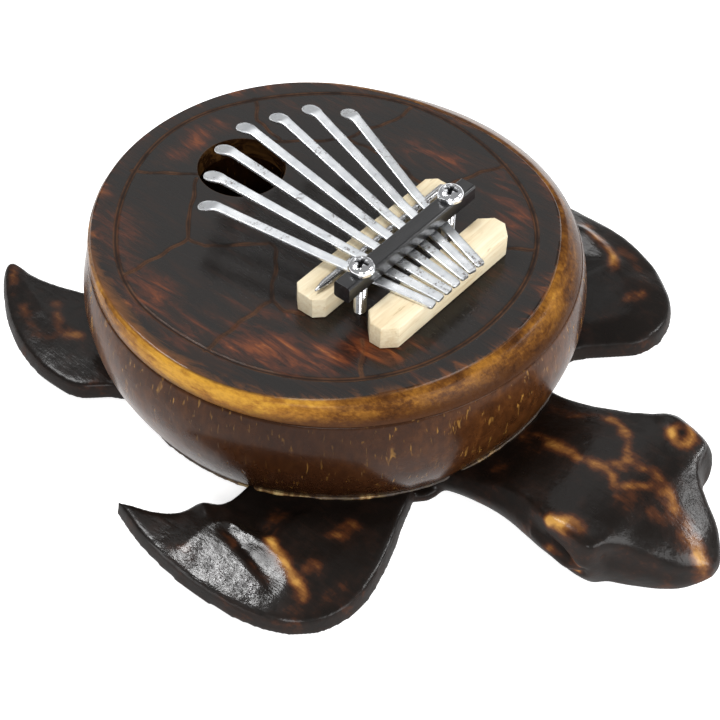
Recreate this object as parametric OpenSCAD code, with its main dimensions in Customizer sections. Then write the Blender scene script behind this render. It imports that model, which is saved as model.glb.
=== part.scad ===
// Turtle mbira: coconut-shell resonator on a carved turtle base, with seven
// steel tines clamped by a screwed pressure bar over a wire saddle.
// Head at -Y, tail at +Y, +Z up, Z = 0 is the face it stands on.

/* [Shell and base] */
// height of the soundboard's top face above the table
top_z = 45; // [36:0.5:60]
// thickness of the carved base under the shell
base_t = 3; // [2:0.5:5]
// largest outside radius of the coconut shell
shell_r = 68.5; // [66:0.5:72]
// height of the shell's widest ring
belly_z = 27; // [20:0.5:34]
// radius of the shell's curve in side view
belly_curve = 33; // [28:1:60]
// thickness of the shell wall
wall = 4; // [3:0.25:6]
// how far the shell's axis sits from the soundboard's, to the right
shell_dx = 1.9; // [-2.5:0.1:2.5]
// how far the shell's axis sits from the soundboard's, to the tail
shell_dy = -2.4; // [-2.5:0.1:2.5]

/* [Soundboard] */
// radius of the soundboard's top face
board_r = 62.5; // [61:0.25:63]
// how much the soundboard's right edge is flattened
flat = 4.3; // [0:0.1:5]
// radius of the soundboard where it meets the shell
board_r2 = 66.1; // [65:0.1:66.3]
// thickness of the soundboard
board_t = 6.6; // [4:0.2:8]
// radius of the sound hole
hole_r = 12; // [8:0.5:14]
// distance of the sound hole from the centre, to the right
hole_x = 3; // [-4:0.5:6]
// distance of the sound hole from the centre, to the tail
hole_y = 32.6; // [28:0.2:36]
// radius of the carved ring
ring_r = 56; // [50:0.5:59]

/* [Bridges and clamp] */
// distance of the saddle wire from the centre, to the head
saddle_y = 19; // [17.5:0.25:21]
// radius of the saddle wire
wire_r = 1.1; // [0.9:0.05:1.3]
// height of the tines' underside over the saddle
saddle_h = 8.5; // [7.5:0.1:9.5]
// length of the front bridge block
bridge_l = 57.4; // [50:0.2:60]
// length of the rear bridge block
rear_l = 51.6; // [44:0.2:54]
// side of the square pressure bar
bar_s = 5; // [4:0.25:6]
// length of the pressure bar
bar_l = 51.6; // [46:0.2:54]
// half the distance between the two clamp screws
screw_x = 18.2; // [17.8:0.1:20]
// radius of the clamp screws' shanks
screw_r = 1.75; // [1.5:0.05:1.8]
// length of the clamp screws under the head
screw_l = 25; // [24:0.5:27]

/* [Tines] */
// width of a tine
tine_w = 2.8; // [2.2:0.1:2.9]
// thickness of a tine
tine_t = 0.9; // [0.6:0.05:1.1]
// distance between tines at the saddle
pitch = 5.4; // [5.3:0.05:5.6]
// sideways spread from one tine to the next, per unit of length
fan = 0.083; // [0.07:0.001:0.085]
// rise of the tines behind the saddle, per unit of length
rise = 0.055; // [0.05:0.001:0.06]
// extra rise of the middle tine ahead of the saddle
lift = 0.075; // [0.05:0.005:0.09]
// extra rise from one tine to the next, to the right
lift_step = 0.017; // [0:0.001:0.018]
// length of the middle tine ahead of the saddle
reach_4 = 53.4; // [45:0.1:55]

/* [Hidden] */
$fn = 64;
seat_z = top_z - board_t;              // top rim of the shell
tilt = atan(rise);
bar_y = saddle_y + 5.6 + bar_s / 2;    // bar and screw axis, towards the head
rear_y0 = 33.2;                        // near and far faces of the rear block
rear_y1 = 43.2;
rear_h = saddle_h - rise * (rear_y1 - saddle_y) - 0.02;
wire_z = saddle_h - wire_r / cos(tilt) - 0.02;
bridge_h = wire_z - wire_r + 0.3;
bar_h = saddle_h - rise * 5.6 + tine_t / cos(tilt) + 0.03;
head_h = bar_h + bar_s;                // underside of the screw heads
tail_y = 45;                           // tines end here, towards the head
split = 2.5;                           // clamped length ahead of the saddle
gap = 0.06;                            // between clamped part and tongue
reach = [reach_4 - 10.8, reach_4 - 5.5, reach_4 - 0.9, reach_4,
    reach_4 - 3.8, reach_4 - 8.3, reach_4 - 16.6];
droop = [22, 14, 19, 17, 21, 20, 22];  // bend of the hammered tips, degrees
tip_l = 7;                             // length of the hammered tips
tip_w = 1.45 * tine_w;
under = 0.3;                           // head and flippers clear the table

function shell_at(z) = shell_r - pow(z - belly_z, 2) / (2 * belly_curve);
function zs(n) = [for (i = [0 : n]) base_t + (seat_z - base_t) * i / n];

// smooth curve through a list of stations
function cr(a, b, c, d, t) = 0.5 * ((2 * b) + (c - a) * t
    + (2 * a - 5 * b + 4 * c - d) * t * t + (3 * b - a - 3 * c + d) * t * t * t);
function smooth(p, k) = [for (i = [0 : len(p) - 2]) for (j = [0 : k - 1])
        cr(p[max(i - 1, 0)], p[i], p[i + 1], p[min(i + 2, len(p) - 1)], j / k),
    p[len(p) - 1]];

// skin over equal-sized loops, closed by flat ends fanned from point e
module loft(loops, e) {
    n = len(loops[0]);
    m = len(loops);
    polyhedron(points = [for (l = loops) for (p = l) p], faces = concat(
        [for (i = [0 : m - 2]) for (j = [0 : n - 1]) for (s = [0, 1])
            s == 0 ? [i * n + j, (i + 1) * n + j, i * n + (j + 1) % n]
                   : [i * n + (j + 1) % n, (i + 1) * n + j, (i + 1) * n + (j + 1) % n]],
        [for (j = [1 : n - 2]) [e, (e + j) % n, (e + j + 1) % n]],
        [for (j = [1 : n - 2]) [(m - 1) * n + e, (m - 1) * n + (e + j + 1) % n,
            (m - 1) * n + (e + j) % n]]));
}

// head: half width, top, bottom and cheek height at stations along -Y
head_st = [
    [-50, 24, 8, under, 3.5], [-60, 23.5, 9, under, 4], [-68, 22, 12, under, 5.5],
    [-78, 22, 16, under, 8], [-88, 24.4, 19.5, under, 10], [-97, 26.6, 21, under, 11],
    [-104.5, 26.3, 20.5, under, 10.5], [-110.5, 22.5, 18.8, under, 9.5],
    [-115, 16.5, 16.6, under, 8], [-120, 13.2, 14.6, 0.6, 7.3],
    [-125, 10, 12.2, 1.4, 6.5], [-129, 5, 9.8, 2.8, 6], [-131, 1.5, 7.6, 4.4, 6]];
function sg(v) = v < 0 ? -1 : 1;
function head_pt(s, a) = let (c = cos(a), d = sin(a))
    [s[1] * sg(c) * pow(abs(c), 0.75), s[0],
        d >= 0 ? s[4] + (s[2] - s[4]) * pow(d, 0.8)
               : s[4] - (s[4] - s[3]) * pow(-d, 0.55)];
// the eyes swell out of the head, and the snout was cut a little to the left
function eye(p) = let (q = norm([abs(p[0]) - 18, p[1] + 102, p[2] - 17]) / 6.5)
    p + exp(-q * q) * [2.2 * sg(p[0]), 0, 2.6] - [1.3 * exp(-pow((p[1] + 118) / 13, 2)), 0, 0];
function head_loop(s) = [for (k = [0 : 23]) eye(head_pt(s, k * 15))];

// flippers: inner edge, outer edge, crown and edge height at stations, all
// drawn on the left; the right front one was cut broader at the corner
left_st = [
    [-44, -18, -24, -50, 5.4, 5], [-57, -19, -38, -60, 6.5, 5],
    [-62, -17.5, -50, -65, 8, 5], [-65, -14.5, -64, -68, 8.5, 5],
    [-68, -12, -77, -65.5, 8.5, 5], [-71.5, -10.2, -85, -57.5, 8.3, 5],
    [-74.5, -7.5, -88.5, -46, 8, 5.2], [-77, -4.5, -89, -32, 7.6, 5.4],
    [-79, -1.5, -87.5, -16, 7, 5.4], [-80.6, 2, -82.6, 0.6, 6, 5.4]];
right_st = [
    [-46, -20, -25, -49.5, 5.4, 5], [-59, -21, -38, -57, 6.5, 5],
    [-64, -19.5, -49, -66.6, 8, 5], [-67, -17, -58.5, -72.4, 8.6, 5],
    [-70, -14.5, -67.5, -71.6, 8.9, 5], [-73, -12.5, -75.6, -66.4, 9, 5],
    [-76, -10, -83, -56.5, 9, 5.2], [-78.5, -7, -87.3, -45, 8.6, 5.4],
    [-80.5, -3.5, -89, -30, 7.8, 5.4], [-82, 0, -88.3, -15, 7, 5.4],
    [-83, 3, -84.5, 1.5, 6, 5.4]];
rear_st = [
    [-25, 50, -50, 28, 5.4, 5], [-31.8, 60, -59.5, 33, 6.5, 5],
    [-33.4, 66, -62.6, 42, 7.5, 5], [-34.8, 72, -61.3, 54, 7.5, 5],
    [-36.2, 78, -57, 66, 7.2, 5], [-36.6, 83, -49, 78, 6.6, 5],
    [-36.8, 87, -40.5, 86.4, 5.6, 4.8]];
function fin_loop(s, sx) = let (a = [s[0], s[1]], b = [s[2], s[3]], n = 8)
    concat([for (k = [0 : n]) let (v = k / n, p = a + (b - a) * v)
            [sx * p[0], p[1], s[5] + (s[4] - s[5]) * pow(sin(180 * v), 0.8)]],
        [for (k = [n : -1 : 0]) let (v = k / n, p = a + (b - a) * v)
            [sx * p[0], p[1], under]]);
module fin(st, sx) {
    l = [for (s = smooth(st, 2)) fin_loop(s, sx)];
    n = len(l[0]);
    if (sx > 0) loft([for (i = [len(l) - 1 : -1 : 0]) l[i]], 4);
    else loft([for (i = [len(l) - 1 : -1 : 0]) [for (j = [n - 1 : -1 : 0]) l[i][j]]], n - 5);
}

module turtle_base() {
    color("#2a201b") difference() {
        union() {
            translate([shell_dx, shell_dy, 0])
                cylinder(r = shell_at(base_t) - 1.2, h = base_t);
            // webs between the neck and the front flippers
            for (sx = [-1, 1]) translate([sx * 23, -52, 0]) cylinder(r = 7.5, h = base_t);
            loft([for (s = smooth(head_st, 2)) head_loop(s)], 6);
            fin(left_st, 1);
            fin(right_st, -1);
            fin(rear_st, 1);
            fin(rear_st, -1);
        }
        // room for the shell: a cone that touches its curve at the foot
        translate([shell_dx, shell_dy, base_t]) cylinder(r1 = shell_at(base_t) + 0.05,
            r2 = shell_at(base_t) + 0.05 + pow(belly_z - base_t, 2) / belly_curve,
            h = belly_z - base_t);
    }
}

module coconut_shell() {
    color("#5b3a20") translate([shell_dx, shell_dy, 0]) rotate_extrude($fn = 96)
        polygon(concat([for (z = zs(14)) [shell_at(z), z]],
            [for (i = [14 : -1 : 0]) [shell_at(zs(14)[i]) - wall, zs(14)[i]]]));
}

// the top face is sawn by hand: flatter on the right, fuller at two corners
function bump(a, at, wide) = exp(-pow((((a - at + 540) % 360) - 180) / wide, 2));
function board_at(a) = board_r - flat * bump(a, 12, 30) + 1.3 * bump(a, 320, 14)
    + bump(a, 200, 20);

module soundboard() {
    color("#3b2b26") difference() {
        hull() {
            translate([0, 0, top_z - 0.5]) linear_extrude(height = 0.5)
                polygon([for (a = [0 : 3 : 357]) board_at(a) * [cos(a), sin(a)]]);
            translate([0.85 * shell_dx, 0.85 * shell_dy, seat_z])
                cylinder(r = board_r2, h = 0.5, $fn = 120);
        }
        translate([hole_x, hole_y, seat_z - 1]) cylinder(r = hole_r, h = board_t + 2);
        for (sx = [-1, 1]) translate([sx * screw_x, -bar_y, seat_z - 1])
            cylinder(r = screw_r + 0.15, h = board_t + 2);
        translate([0, 0, top_z]) rotate_extrude($fn = 96) translate([ring_r, 0])
            polygon([[-0.8, 0.3], [-0.8, 0], [0, -0.7], [0.8, 0], [0.8, 0.3]]);
    }
}

// a wooden block with its corners cut across
module block(l, w, h, c) {
    linear_extrude(height = h) polygon([[-l / 2 + c, -w / 2], [l / 2 - c, -w / 2],
        [l / 2, -w / 2 + c], [l / 2, w / 2 - c], [l / 2 - c, w / 2],
        [-l / 2 + c, w / 2], [-l / 2, w / 2 - c], [-l / 2, -w / 2 + c]]);
}

module front_bridge() {
    color("#ead9ad") difference() {
        translate([0, -17.6, top_z]) block(bridge_l, 9.6, bridge_h, 2.4);
        translate([-30, -saddle_y, top_z + wire_z]) rotate([0, 90, 0])
            cylinder(r = wire_r + 0.02, h = 60);
    }
}

module saddle_wire() {
    color("#c9c9c6") translate([0, -saddle_y, top_z + wire_z]) rotate([0, 90, 0]) {
        translate([0, 0, -23]) cylinder(r = wire_r, h = 49);
        translate([0, 0, -26.5]) cylinder(r1 = 0.25, r2 = wire_r, h = 3.5);
    }
}

module rear_bridge() {
    color("#ead9ad") translate([0, -(rear_y0 + rear_y1) / 2, top_z])
        block(rear_l, rear_y1 - rear_y0, rear_h, 3.3);
}

module pressure_bar() {
    color("#17171a") difference() {
        translate([-bar_l / 2, -bar_y, top_z + bar_h + bar_s / 2]) rotate([0, 90, 0])
            linear_extrude(height = bar_l) {
                square([bar_s, bar_s - 1.6], center = true);
                square([bar_s - 1.6, bar_s], center = true);
                for (a = [-1, 1]) for (b = [-1, 1])
                    translate([a * (bar_s / 2 - 0.8), b * (bar_s / 2 - 0.8)])
                        circle(r = 0.8);
            }
        for (sx = [-1, 1]) translate([sx * screw_x, -bar_y, top_z])
            cylinder(r = screw_r + 0.1, h = 30);
    }
}

module screw(sx) {
    color("#d2d4d6") translate([sx * screw_x, -bar_y, top_z + head_h]) difference() {
        union() {
            translate([0, 0, -screw_l]) cylinder(r = screw_r, h = screw_l + 0.5);
            rotate_extrude() polygon(concat([[0, 0], [3.5, 0]],
                [for (i = [0 : 6]) [3.5 * cos(i * 14) , 0.9 + 1.75 * sin(i * 15)]],
                [[0, 2.65]]));
        }
        for (a = [0, 90]) rotate([0, 0, a + 20]) translate([-1.9, -0.4, 1.2])
            cube([3.8, 0.8, 2]);
    }
}
module screw_left() { screw(-1); }
module screw_right() { screw(1); }

module washer(sx) {
    color("#b9bbbc") translate([sx * screw_x, -bar_y, seat_z - 0.8]) difference() {
        cylinder(r = 4, h = 0.8);
        translate([0, 0, -1]) cylinder(r = screw_r + 0.15, h = 3);
    }
}
module washer_left() { washer(-1); }
module washer_right() { washer(1); }

module nut(sx) {
    color("#b9bbbc") translate([sx * screw_x, -bar_y, seat_z - 3.6]) difference() {
        cylinder(r = 3.46, h = 2.8, $fn = 6);
        translate([0, 0, -1]) cylinder(r = screw_r + 0.03, h = 5);
    }
}
module nut_left() { nut(-1); }
module nut_right() { nut(1); }

// places its children on the line of tine i: +Y to the tip, Z = 0 its underside
module on_tine(i) {
    translate([0, -saddle_y, top_z + saddle_h]) rotate([tilt, 0, 0])
        translate([0.3 + pitch * (i - 4), 0, 0])
            rotate([0, 0, -atan((0.06 + fan * (i - 4)) * cos(tilt))]) children();
}
function lean(i) = cos(atan((0.06 + fan * (i - 4)) * cos(tilt)));
function tail_l(i) = (tail_y - saddle_y) / cos(tilt) / lean(i);
function tongue_l(i) = reach[i - 1] / cos(tilt) / lean(i);

module tail(i) {
    color("#c4c8cc") on_tine(i) translate([-tine_w / 2, -tail_l(i), 0])
        cube([tine_w, tail_l(i) + split, tine_t]);
}
// the free tongue turns up at the split, about its top edge
module tongue(i) {
    color("#d5d9dd") on_tine(i) translate([0, split + gap, tine_t])
        rotate([atan(lift + lift_step * (i - 4)), 0, 0]) translate([0, 0, -tine_t]) {
        straight = tongue_l(i) - tip_l - split - gap;
        translate([-tine_w / 2, 0, 0]) cube([tine_w, straight, tine_t]);
        translate([0, straight, tine_t]) rotate([-droop[i - 1], 0, 0])
            translate([0, 0, -tine_t]) linear_extrude(height = tine_t - 0.1) {
                polygon([[-tine_w / 2, -0.1], [tine_w / 2, -0.1],
                    [tip_w / 2, tip_l - tip_w * 0.5], [-tip_w / 2, tip_l - tip_w * 0.5]]);
                intersection() {
                    translate([0, tip_l - tip_w * 0.5]) circle(r = tip_w / 2);
                    translate([-5, tip_l - tip_w * 0.5 - 0.01]) square([10, 5]);
                }
            }
    }
}
module tine_1_tail() { tail(1); }
module tine_2_tail() { tail(2); }
module tine_3_tail() { tail(3); }
module tine_4_tail() { tail(4); }
module tine_5_tail() { tail(5); }
module tine_6_tail() { tail(6); }
module tine_7_tail() { tail(7); }
module tine_1_tongue() { tongue(1); }
module tine_2_tongue() { tongue(2); }
module tine_3_tongue() { tongue(3); }
module tine_4_tongue() { tongue(4); }
module tine_5_tongue() { tongue(5); }
module tine_6_tongue() { tongue(6); }
module tine_7_tongue() { tongue(7); }

turtle_base();
coconut_shell();
soundboard();
front_bridge();
saddle_wire();
rear_bridge();
pressure_bar();
screw_left();
screw_right();
washer_left();
washer_right();
nut_left();
nut_right();
tine_1_tail();
tine_2_tail();
tine_3_tail();
tine_4_tail();
tine_5_tail();
tine_6_tail();
tine_7_tail();
tine_1_tongue();
tine_2_tongue();
tine_3_tongue();
tine_4_tongue();
tine_5_tongue();
tine_6_tongue();
tine_7_tongue();
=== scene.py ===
"""Turtle mbira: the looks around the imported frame. Lengths are in millimetres until
mesh_piece() turns them into metres. Head at -Y, tail at +Y, +Z up, table at Z = 0."""
import math

import bmesh
import bpy
import numpy as np
from mathutils import Matrix, Vector, geometry, noise


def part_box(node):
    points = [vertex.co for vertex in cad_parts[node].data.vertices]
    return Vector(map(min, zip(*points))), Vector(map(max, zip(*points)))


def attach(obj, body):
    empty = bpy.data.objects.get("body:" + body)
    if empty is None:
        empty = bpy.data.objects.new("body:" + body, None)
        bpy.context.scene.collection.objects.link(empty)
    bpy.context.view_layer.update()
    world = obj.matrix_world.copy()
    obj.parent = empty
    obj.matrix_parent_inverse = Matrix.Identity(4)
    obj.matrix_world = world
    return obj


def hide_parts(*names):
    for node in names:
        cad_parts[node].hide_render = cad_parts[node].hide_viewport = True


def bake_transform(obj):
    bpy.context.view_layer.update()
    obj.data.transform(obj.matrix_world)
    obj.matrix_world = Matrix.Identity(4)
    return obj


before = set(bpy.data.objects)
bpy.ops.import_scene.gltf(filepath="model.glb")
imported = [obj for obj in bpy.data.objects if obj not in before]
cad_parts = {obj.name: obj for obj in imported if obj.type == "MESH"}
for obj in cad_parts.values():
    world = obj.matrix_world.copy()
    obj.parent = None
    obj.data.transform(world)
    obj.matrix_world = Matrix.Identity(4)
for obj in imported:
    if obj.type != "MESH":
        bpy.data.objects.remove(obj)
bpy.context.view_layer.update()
MM = 0.001


# ---------------------------------------------------------------- the frame's measures
def low(node):
    """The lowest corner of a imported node."""
    return np.array(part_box(node)[0]) / MM


def high(node):
    """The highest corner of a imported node."""
    return np.array(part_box(node)[1]) / MM


def middle(node):
    """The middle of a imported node's box."""
    return (low(node) + high(node)) / 2


def half(node):
    """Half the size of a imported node's box."""
    return (high(node) - low(node)) / 2


TOP_Z = high("soundboard")[2]
SEAT_Z = low("soundboard")[2]
FOOT_Z = low("coconut_shell")[2]
SHELL_C, SHELL_R = middle("coconut_shell")[:2], half("coconut_shell")[0]
BELLY_Z, BELLY_CURVE, WALL = 27.0, 33.0, 4.0
BOARD_R, BOARD_FLAT, FOOT_R = 62.5, 4.3, half("soundboard")[1]
HOLE_C, HOLE_R, RING_R = np.array((3.0, 32.6)), 12.0, 56.0
SADDLE_Y = -middle("saddle_wire")[1]
TINE_W, TINE_T, PITCH, FAN, RISE = 2.8, 0.9, 5.4, 0.083, 0.055
SADDLE_H, SPLIT, TAIL_Y = 8.5, 2.53, 45.0
LIFT, LIFT_STEP, TIP_L, TIP_W = 0.075, 0.017, 7.0, 1.45 * TINE_W
REACH = [53.4 - back for back in (10.8, 5.5, 0.9, 0, 3.8, 8.3, 16.6)]
DROOP = (22, 14, 19, 17, 21, 20, 22)
SKEW, MIDDLE_TINE, SADDLE_X = 0.06, 4, 0.3
HEAD_R = 3.5
TINES = range(1, 8)


# ---------------------------------------------------------------- materials
class Paint:
    """One material, with short ways to wire its nodes. Sizes are in metres."""

    def __init__(self, name, **sockets):
        self.material = bpy.data.materials.new(name)
        self.material.use_nodes = True
        self.tree = self.material.node_tree
        self.shader = self.tree.nodes["Principled BSDF"]
        for socket, value in sockets.items():
            self.shader.inputs[socket.replace("_", " ")].default_value = value
        self.place = self.node("ShaderNodeTexCoord", {}, "Object")

    def node(self, kind, inputs, output=0, **settings):
        """Adds a node, sets or links its inputs, and gives one output."""
        made = self.tree.nodes.new(kind)
        for key, value in settings.items():
            setattr(made, key, value)
        for key, value in inputs.items():
            if isinstance(value, bpy.types.NodeSocket):
                self.tree.links.new(value, made.inputs[key])
            else:
                made.inputs[key].default_value = value
        return made.outputs[output]

    def stretched(self, scale=(1, 1, 1), turn=(0, 0, 0)):
        """The object's own coordinates, scaled and turned."""
        return self.node("ShaderNodeMapping", {"Vector": self.place, "Scale": scale,
                                               "Rotation": turn})

    def noise(self, size, detail=4.0, rough=0.55, distort=0.0, where=None):
        """Noise with lumps about size across."""
        return self.node("ShaderNodeTexNoise", {
            "Vector": where or self.place, "Scale": 1 / size, "Detail": detail,
            "Roughness": rough, "Distortion": distort})

    def mark(self, name):
        """A mark stored on the mesh."""
        return self.node("ShaderNodeAttribute", {}, "Fac", attribute_name=name)

    def calc(self, kind, a, b=0.0, c=0.0):
        """One maths node."""
        return self.node("ShaderNodeMath", {0: a, 1: b, 2: c}, operation=kind)

    def span(self, value, a, b, c=0.0, d=1.0):
        """value's run from a to b becomes c to d, and stays inside."""
        return self.node("ShaderNodeMapRange", {"Value": value, "From Min": a,
                         "From Max": b, "To Min": c, "To Max": d})

    def mix(self, share, a, b):
        """Colour a with a share of colour b."""
        ends = [e if isinstance(e, bpy.types.NodeSocket) else (*e, 1) for e in (a, b)]
        return self.node("ShaderNodeMix", {0: share, 6: ends[0], 7: ends[1]}, 2,
                         data_type="RGBA", blend_type="MIX")

    def ramp(self, value, *stops):
        """Colours at places from 0 to 1."""
        made = self.tree.nodes.new("ShaderNodeValToRGB")
        self.tree.links.new(value, made.inputs[0])
        marks = made.color_ramp.elements
        while len(marks) < len(stops):
            marks.new(0.5)
        for mark, (place, colour) in zip(marks, stops):
            mark.position, mark.color = place, (*colour, 1)
        return made.outputs[0]

    def finish(self, colour, roughness, height, depth, coat=None):
        """Wires the shader: depth is the bump's full height in metres."""
        bump = self.node("ShaderNodeBump", {"Height": height, "Distance": depth,
                                            "Strength": 1.0})
        sockets = {"Base Color": colour, "Roughness": roughness, "Normal": bump}
        if coat:
            sockets |= {"Coat Weight": coat, "Coat Normal": bump}
        for socket, value in sockets.items():
            self.tree.links.new(value, self.shader.inputs[socket])
        return self.material


def carved_wood():
    """Torch-scorched wood under satin lacquer: near black, with a blurred orange net."""
    p = Paint("carved_wood", Coat_Roughness=0.14, Specular_IOR_Level=0.13)
    blotch = p.noise(0.006, 5, 0.6)
    grain = p.noise(0.0012, 4, 0.6, where=p.stretched((1, 0.16, 1)))
    net = p.calc("ADD", p.mark("net"), p.span(blotch, 0.3, 0.7, -0.20, 0.20))
    net = p.calc("ADD", net, p.span(grain, 0.3, 0.7, -0.08, 0.08))
    side = p.mark("side")
    net = p.calc("MULTIPLY_ADD", side, 0.12, net)
    colour = p.ramp(net, (0.0, (0.007, 0.005, 0.004)), (0.20, (0.013, 0.007, 0.005)),
                    (0.42, (0.055, 0.018, 0.007)), (0.66, (0.19, 0.075, 0.018)),
                    (0.95, (0.52, 0.27, 0.06)))
    rough = p.mark("rough")
    fine = p.noise(0.0006, 3, 0.7, where=p.stretched((1, 0.3, 1), (0, 0, 0.7)))
    chisel = p.noise(0.0021, 3, 0.5, 0.1, p.stretched((1, 0.5, 1), (0, 0, 0.7)))
    height = p.calc("MULTIPLY_ADD", p.calc("MULTIPLY", fine, rough), 1.4,
                    p.calc("MULTIPLY", grain, 0.7))
    height = p.calc("MULTIPLY_ADD", p.calc("MULTIPLY", chisel, rough), 1.9, height)
    height = p.calc("MULTIPLY_ADD", blotch, 1.5, height)
    roughness = p.calc("MULTIPLY_ADD", side, 0.3, p.span(blotch, 0.3, 0.7, 0.26, 0.38))
    worn = p.span(p.noise(0.0042, 4, 0.6, 0.5), 0.36, 0.55, 0.25, 1)
    coat = p.calc("MULTIPLY_ADD", p.calc("MULTIPLY", worn, rough), 1.3, 0.18)
    coat = p.calc("MULTIPLY_ADD", side, -0.13, coat)
    return p.finish(colour, roughness, height, 0.00012, coat)


def coconut():
    """Polished coconut shell: brown with gold fibre flecks, under gloss lacquer, with painted shade mixed in
    where the mesh marks it.
    """
    p = Paint("coconut", Coat_Weight=0.08, Coat_Roughness=0.12, Specular_IOR_Level=0.08)
    cloud = p.noise(0.022, 4, 0.6)
    grit = p.noise(0.0022, 4, 0.65, where=p.stretched((1, 1, 0.6)))
    base = p.ramp(p.calc("MULTIPLY_ADD", grit, 0.5, p.calc("MULTIPLY", cloud, 0.6)),
                  (0.34, (0.018, 0.007, 0.003)), (0.54, (0.062, 0.021, 0.006)),
                  (0.70, (0.13, 0.046, 0.012)), (0.86, (0.22, 0.090, 0.024)))
    streak = p.noise(0.0021, 2, 0.5, 0.6, p.stretched((1, 1, 0.26), (0.3, 0.1, 0)))
    thin = p.noise(0.0010, 2, 0.5, 0.4, p.stretched((1, 1, 0.16), (-0.25, 0.2, 0)))
    where = p.span(p.noise(0.016, 3), 0.38, 0.60)
    fleck = p.calc("MAXIMUM", p.span(streak, 0.67, 0.75), p.span(thin, 0.64, 0.72))
    fleck = p.calc("MULTIPLY", fleck, p.calc("MULTIPLY_ADD", where, 0.8, 0.2))
    colour = p.mix(fleck, base, (0.42, 0.21, 0.045))
    # painted shade: the shell is darkened where its mark says, with a random cloud mottling added on top
    painted_shade = p.calc("ADD", p.mark("painted_shade"), p.span(cloud, 0.3, 0.7, -0.15, 0.15))
    colour = p.mix(painted_shade, colour, (0.016, 0.0055, 0.0025))
    seam = p.mark("seam")
    colour = p.mix(p.calc("MULTIPLY", seam, 0.5), colour, (0.03, 0.013, 0.006))
    roughness = p.span(cloud, 0.3, 0.7, 0.22, 0.34)
    height = p.calc("MULTIPLY_ADD", fleck, -0.8, p.calc("MULTIPLY", grit, 0.8))
    return p.finish(colour, roughness, height, 0.00010)


def board_wood():
    """Soundboard: near-black stained top with red-brown grain streaks, a golden rim."""
    p = Paint("board_wood", Coat_Roughness=0.2, Specular_IOR_Level=0.07)
    cut, rim, gilt, wall, edge = (p.mark(n) for n in ("cut", "rim", "gilt", "wall", "edge"))
    along = p.stretched((1, 0.22, 1), (0, 0, 0.06))
    streak = p.noise(0.0034, 7, 0.68, 0.7, along)
    fibre = p.noise(0.0007, 3, 0.6, where=p.stretched((1, 0.08, 1), (0, 0, 0.06)))
    cloud = p.noise(0.021, 3, 0.55)
    warm = p.calc("MULTIPLY_ADD", p.mark("warm"), 0.30, p.calc("MULTIPLY", cloud, 0.30))
    warm = p.calc("ADD", warm, p.span(streak, 0.25, 0.75, 0.10, 0.55))
    warm = p.calc("MULTIPLY_ADD", fibre, 0.08, warm)
    top = p.ramp(warm, (0.56, (0.009, 0.007, 0.006)), (0.70, (0.018, 0.009, 0.006)),
                 (0.80, (0.052, 0.015, 0.007)), (0.90, (0.14, 0.036, 0.010)),
                 (0.99, (0.34, 0.12, 0.028)))
    ring = p.noise(0.0055, 5, 0.6, 0.4, p.stretched((0.5, 0.5, 1.6)))
    scale = p.calc("MULTIPLY_ADD", fibre, 0.2, p.calc("MULTIPLY", ring, 0.6))
    speck = p.noise(0.0011, 3, 0.7, where=p.stretched((0.6, 0.6, 1)))
    scale = p.calc("ADD", scale, p.span(speck, 0.3, 0.7, -0.07, 0.04))
    scale = p.calc("MULTIPLY_ADD", rim, -0.10, scale)
    gold = p.ramp(p.calc("MULTIPLY_ADD", gilt, 0.48, scale),
                  (0.40, (0.030, 0.011, 0.004)), (0.53, (0.10, 0.037, 0.008)),
                  (0.68, (0.27, 0.115, 0.018)), (0.84, (0.52, 0.270, 0.036)))
    amber = p.calc("ADD", edge, p.span(streak, 0.3, 0.7, -0.35, 0.25))
    top = p.mix(p.span(amber, 0.25, 0.95, 0, 0.85), top, (0.19, 0.070, 0.014))
    colour = p.mix(p.span(rim, 0.02, 0.16), top, gold)
    foot = p.calc("ADD", rim, p.span(ring, 0.3, 0.7, -0.15, 0.15))
    foot = p.calc("MULTIPLY_ADD", gilt, -0.35, foot)
    colour = p.mix(p.span(foot, 0.36, 0.74, 0, 0.9), colour, (0.050, 0.018, 0.006))
    colour = p.mix(wall, colour, p.mix(p.span(streak, 0.45, 0.7), (0.02, 0.008, 0.003),
                                       (0.11, 0.05, 0.014)))
    bare = p.calc("MULTIPLY", p.span(cut, 0.06, 0.35),
                  p.span(p.noise(0.009, 4, 0.7), 0.38, 0.62, 0.12, 0.85))
    colour = p.mix(bare, colour, (0.095, 0.044, 0.022))
    # painted shade: the bottoms of the carved lines are painted near black
    colour = p.mix(p.span(cut, 0.45, 0.8, 0, 0.8), colour, (0.010, 0.006, 0.005))
    roughness = p.calc("MULTIPLY_ADD", cut, 0.3, p.span(streak, 0.3, 0.7, 0.22, 0.34))
    height = p.calc("MULTIPLY_ADD", streak, 0.6, fibre)
    dull = p.calc("MAXIMUM", p.span(rim, 0.02, 0.2), p.span(cut, 0.05, 0.3, 0, 0.8))
    coat = p.calc("MULTIPLY_ADD", dull, -0.44, 0.46)
    return p.finish(colour, roughness, height, 0.00005, coat)


def pale_wood():
    """Unfinished pale hardwood: fine grain and short dark pores along X."""
    p = Paint("pale_wood", Specular_IOR_Level=0.3)
    grain = p.noise(0.0011, 4, 0.6, 0.3, p.stretched((0.07, 1, 1)))
    cloud = p.noise(0.009, 3, 0.5, where=p.stretched((0.5, 1, 1)))
    pores = p.span(p.noise(0.0005, 2, 0.5, where=p.stretched((0.12, 1, 1))), 0.66, 0.76)
    colour = p.ramp(p.calc("MULTIPLY_ADD", cloud, 0.45, p.calc("MULTIPLY", grain, 0.55)),
                    (0.34, (0.64, 0.50, 0.30)), (0.50, (0.76, 0.65, 0.45)),
                    (0.66, (0.84, 0.76, 0.57)))
    colour = p.mix(p.calc("MULTIPLY", pores, 0.5), colour, (0.38, 0.25, 0.12))
    return p.finish(colour, p.span(grain, 0.3, 0.7, 0.55, 0.72),
                    p.calc("SUBTRACT", grain, pores), 0.00008)


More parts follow.
